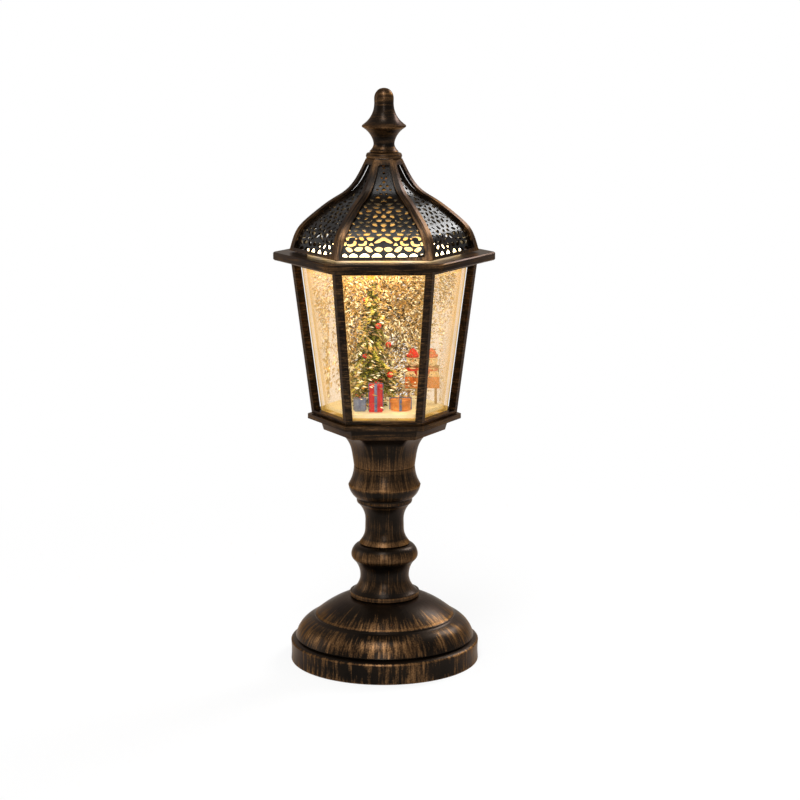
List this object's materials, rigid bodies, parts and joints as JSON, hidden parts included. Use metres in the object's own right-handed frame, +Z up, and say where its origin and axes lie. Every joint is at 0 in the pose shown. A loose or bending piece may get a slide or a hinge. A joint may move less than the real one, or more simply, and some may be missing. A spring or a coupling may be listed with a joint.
{
  "type": "glitter lantern",
  "caption": "Hexagonal Christmas lantern on a turned column: pierced ogee roof, glitter tank with a tree and gifts, switch, battery door and spinning impeller.",
  "frame": {"origin": "middle of the underside of the round foot, on the surface it stands on", "axes": "+Z up along the column, one flat pane faces -Y, +X to its right"},
  "size_m": [0.1084, 0.095, 0.285],
  "materials": {
    "antique_bronze": "dark antique bronze metallic paint, brushed through on edges and ridges",
    "worn_bronze": "lighter rubbed bronze paint",
    "black_plastic": "fine moulded grain",
    "clear_acrylic": "clear polished moulding",
    "frosted": "frosted translucent",
    "warm_led": "lit lamp dome",
    "white_plastic": "plain moulding",
    "snow": "rough sparkling snow",
    "fir_green": "painted needles",
    "gold_star": "gold paint",
    "gift_red": "painted",
    "gift_blue": "painted",
    "gift_orange": "painted",
    "snowman_cream": "painted",
    "bench_wood": "painted slats",
    "blanket_orange": "painted cloth",
    "zinc_steel": "zinc plated",
    "ferrite": "dull grey magnet",
    "seal_rubber": "matt",
    "cell_jacket": "plain sleeve",
    "board_green": "circuit board",
    "lead_sleeve": "soft sleeve"
  },
  "bodies": {
    "lantern": {"base_shell": "antique_bronze", "base_plate": "black_plastic", "base_screw_1": "zinc_steel", "base_screw_2": "zinc_steel", "base_screw_3": "zinc_steel", "battery_bay": "black_plastic", "battery_cell_1": "cell_jacket", "battery_cell_2": "cell_jacket", "battery_cell_3": "cell_jacket", "contact_front": "zinc_steel", "contact_rear": "zinc_steel", "control_board": "board_green", "usb_socket": "zinc_steel", "switch_body": "zinc_steel", "column_foot": "antique_bronze", "column_spool": "antique_bronze", "column_bulb": "antique_bronze", "neck_cup": "antique_bronze", "tie_tube": "zinc_steel", "lower_tube_nut": "zinc_steel", "upper_tube_nut": "zinc_steel", "motor": "zinc_steel", "motor_plate": "zinc_steel", "motor_leads": "lead_sleeve", "led_leads": "lead_sleeve", "sill": "antique_bronze", "window_frame": "antique_bronze", "tank": "clear_acrylic", "tank_gasket": "seal_rubber", "tank_lid": "clear_acrylic", "filler_plug": "seal_rubber", "snow_ground": "snow", "tree": "fir_green", "tree_star": "gold_star", "tall_gift": "gift_red", "small_gift": "gift_blue", "round_gift": "gift_orange", "bench": "bench_wood", "snowman_left": "snowman_cream", "snowman_right": "snowman_cream", "lap_blanket": "blanket_orange", "roof_plate": "antique_bronze", "diffuser": "frosted", "led_board": "white_plastic", "led": "warm_led", "dome_frame": "worn_bronze", "filigree_panel_1": "antique_bronze", "filigree_panel_2": "antique_bronze", "filigree_panel_3": "antique_bronze", "filigree_panel_4": "antique_bronze", "filigree_panel_5": "antique_bronze", "filigree_panel_6": "antique_bronze", "crown_collar": "antique_bronze", "finial": "antique_bronze", "finial_nut": "zinc_steel"},
    "battery_cover": {"battery_door": "black_plastic"},
    "switch_knob": {"switch_slider": "white_plastic"},
    "motor_rotor": {"drive_magnet": "ferrite"},
    "impeller_wheel": {"impeller": "white_plastic"}
  },
  "joints": [
    {"name": "battery_door_hinge", "type": "hinge", "parent": "lantern", "child": "battery_cover", "pos_m": [0, 0.01785, 0.0008], "axis": [1, 0, 0], "range_deg": [0, 95]},
    {"name": "switch_slide", "type": "slide", "parent": "lantern", "child": "switch_knob", "axis": [1, 0, 0], "range_m": [0, 0.006]},
    {"name": "motor_spin", "type": "hinge", "parent": "lantern", "child": "motor_rotor", "pos_m": [0, 0, 0.1115], "axis": [0, 0, 1], "continuous": true},
    {"name": "impeller_spin", "type": "hinge", "parent": "lantern", "child": "impeller_wheel", "pos_m": [0, 0, 0.1177], "axis": [0, 0, 1], "continuous": true}
  ],
  "couplings": [
    {"joint": "impeller_spin", "follows": "motor_spin", "ratio": 1}
  ]
}
